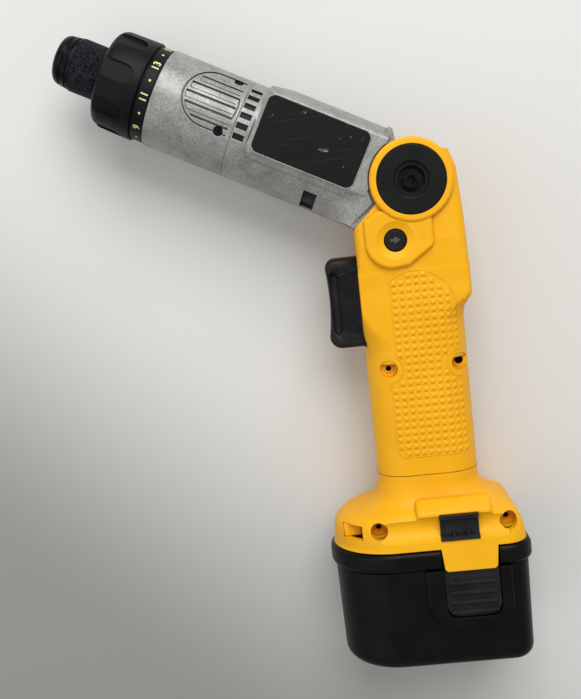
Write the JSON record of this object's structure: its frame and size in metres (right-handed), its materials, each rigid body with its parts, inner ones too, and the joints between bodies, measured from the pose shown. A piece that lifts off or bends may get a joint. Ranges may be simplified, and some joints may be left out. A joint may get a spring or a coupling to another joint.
{
  "type": "cordless pivoting screwdriver",
  "caption": "Cordless screwdriver whose motor barrel hinges on a flared grip, with torque clutch ring, quick-release bit collar, trigger and clip-on battery.",
  "frame": {"origin": "on the battery's flat base, under the middle of the grip, on the parting plane of the two halves", "axes": "+Y up the grip, -X towards the trigger and the bit, +Z to the left side with the name plate"},
  "size_m": [0.1739, 0.2712, 0.0564],
  "materials": {
    "yellow_plastic": "moulded amber yellow, fine spark texture",
    "black_plastic": "moulded black, satin",
    "battery_plastic": "moulded black, satin with scuffs",
    "black_disc": "turned black, satin",
    "black_ring": "moulded black, soft sheen",
    "silver_paint": "silver-grey paint on plastic, worn",
    "plate_film": "black film, blank, scratched",
    "blackened_steel": "black oxide",
    "machined_steel": "machined",
    "spring_steel": "drawn wire",
    "sintered_bronze": "sintered",
    "motor_laminations": "stacked laminations",
    "ferrite": "sintered ferrite",
    "copper": "copper",
    "carbon": "carbon",
    "cell_sleeve": "sleeved cell cans"
  },
  "bodies": {
    "handle": {"handle_left": "yellow_plastic", "handle_right": "yellow_plastic", "handle_screws": "blackened_steel", "pivot_cap_left": "black_disc", "pivot_cap_right": "black_disc", "pivot_bolt": "blackened_steel", "pivot_nut": "blackened_steel", "pivot_sleeve": "machined_steel", "switch_module": "black_plastic", "bit_clip_left": "black_plastic", "bit_clip_right": "black_plastic", "terminal_block": "black_plastic", "terminals": "copper"},
    "barrel": {"gear_case": "silver_paint", "case_screws": "blackened_steel", "motor_housing_left": "silver_paint", "motor_housing_right": "silver_paint", "nameplate": "plate_film", "motor_can": "machined_steel", "motor_magnets": "ferrite", "motor_end_cap": "black_plastic", "motor_brushes": "carbon", "gear_plate": "machined_steel", "ring_gear": "machined_steel", "clutch_gear": "machined_steel", "spindle_bush": "sintered_bronze", "clutch_balls": "machined_steel", "clutch_plate": "machined_steel", "clutch_spring": "spring_steel"},
    "rotor": {"armature": "motor_laminations", "motor_shaft": "machined_steel", "commutator": "copper", "pinion": "machined_steel"},
    "carrier": {"planet_carrier": "machined_steel"},
    "spindle": {"spindle": "machined_steel", "bit_balls": "machined_steel", "collar_retainer": "blackened_steel"},
    "collar": {"bit_collar": "blackened_steel", "collar_spring": "spring_steel"},
    "clutch_ring": {"clutch_ring": "black_ring", "clutch_nut": "sintered_bronze"},
    "trigger": {"trigger": "black_plastic"},
    "reversing_button": {"reversing_button": "black_plastic"},
    "battery": {"battery_case": "battery_plastic", "battery_lid": "battery_plastic", "battery_contacts": "copper", "battery_cells": "cell_sleeve", "latch_spring_left": "spring_steel", "latch_spring_right": "spring_steel"},
    "latch_left": {"latch_left": "black_plastic"},
    "latch_right": {"latch_right": "black_plastic"},
    "planet_1a": {"planet_1a": "machined_steel"},
    "planet_1b": {"planet_1b": "machined_steel"},
    "planet_1c": {"planet_1c": "machined_steel"},
    "planet_2a": {"planet_2a": "machined_steel"},
    "planet_2b": {"planet_2b": "machined_steel"},
    "planet_2c": {"planet_2c": "machined_steel"}
  },
  "joints": [
    {"name": "barrel_pivot", "type": "hinge", "parent": "handle", "child": "barrel", "pos_m": [0.0025, 0.198, 0], "axis": [0, 0, 1], "range_deg": [-62, 0]},
    {"name": "motor_spin", "type": "hinge", "parent": "barrel", "child": "rotor", "pos_m": [-0.04005, 0.21383, 0], "axis": [-0.8829, 0.4695, 0], "continuous": true},
    {"name": "carrier_spin", "type": "hinge", "parent": "barrel", "child": "carrier", "pos_m": [-0.07802, 0.23402, 0], "axis": [-0.8829, 0.4695, 0], "continuous": true},
    {"name": "spindle_spin", "type": "hinge", "parent": "barrel", "child": "spindle", "pos_m": [-0.09744, 0.24434, 0], "axis": [-0.8829, 0.4695, 0], "continuous": true},
    {"name": "collar_slide", "type": "slide", "parent": "spindle", "child": "collar", "axis": [-0.8829, 0.4695, 0], "range_m": [0, 0.004], "stiffness_N_per_m": 900, "springref_m": -0.004},
    {"name": "clutch_turn", "type": "hinge", "parent": "barrel", "child": "clutch_ring", "pos_m": [-0.10451, 0.2481, 0], "axis": [-0.8829, 0.4695, 0], "range_deg": [0, 337.5]},
    {"name": "trigger_pull", "type": "slide", "parent": "handle", "child": "trigger", "axis": [1, 0, 0], "range_m": [0, 0.005], "stiffness_N_per_m": 800, "springref_m": -0.004},
    {"name": "reversing_push", "type": "slide", "parent": "handle", "child": "reversing_button", "axis": [0, 0, 1], "range_m": [-0.0025, 0.0025]},
    {"name": "battery_release", "type": "slide", "parent": "handle", "child": "battery", "axis": [0, -1, 0], "range_m": [0, 0.04]},
    {"name": "planet_1a_spin", "type": "hinge", "parent": "carrier", "child": "planet_1a", "pos_m": [-0.07042, 0.24085, 0], "axis": [-0.8829, 0.4695, 0], "continuous": true},
    {"name": "planet_1b_spin", "type": "hinge", "parent": "carrier", "child": "planet_1b", "pos_m": [-0.07718, 0.22814, 0.00831], "axis": [-0.8829, 0.4695, 0], "continuous": true},
    {"name": "planet_1c_spin", "type": "hinge", "parent": "carrier", "child": "planet_1c", "pos_m": [-0.07718, 0.22814, -0.00831], "axis": [-0.8829, 0.4695, 0], "continuous": true},
    {"name": "planet_2a_spin", "type": "hinge", "parent": "spindle", "child": "planet_2a", "pos_m": [-0.07969, 0.24578, 0], "axis": [-0.8829, 0.4695, 0], "continuous": true},
    {"name": "planet_2b_spin", "type": "hinge", "parent": "spindle", "child": "planet_2b", "pos_m": [-0.08645, 0.23306, 0.00831], "axis": [-0.8829, 0.4695, 0], "continuous": true},
    {"name": "planet_2c_spin", "type": "hinge", "parent": "spindle", "child": "planet_2c", "pos_m": [-0.08645, 0.23306, -0.00831], "axis": [-0.8829, 0.4695, 0], "continuous": true},
    {"name": "latch_left_press", "type": "slide", "parent": "battery", "child": "latch_left", "axis": [0, 0, -1], "range_m": [0, 0.0025], "stiffness_N_per_m": 900, "springref_m": -0.003, "deforming": ["latch_spring_left"]},
    {"name": "latch_right_press", "type": "slide", "parent": "battery", "child": "latch_right", "axis": [0, 0, 1], "range_m": [0, 0.0025], "stiffness_N_per_m": 900, "springref_m": -0.003, "deforming": ["latch_spring_right"]}
  ],
  "couplings": [
    {"joint": "carrier_spin", "follows": "motor_spin", "ratio": 0.25},
    {"joint": "spindle_spin", "follows": "motor_spin", "ratio": 0.0625},
    {"joint": "planet_1a_spin", "follows": "motor_spin", "ratio": -0.75},
    {"joint": "planet_1b_spin", "follows": "motor_spin", "ratio": -0.75},
    {"joint": "planet_1c_spin", "follows": "motor_spin", "ratio": -0.75},
    {"joint": "planet_2a_spin", "follows": "motor_spin", "ratio": -0.1875},
    {"joint": "planet_2b_spin", "follows": "motor_spin", "ratio": -0.1875},
    {"joint": "planet_2c_spin", "follows": "motor_spin", "ratio": -0.1875}
  ]
}
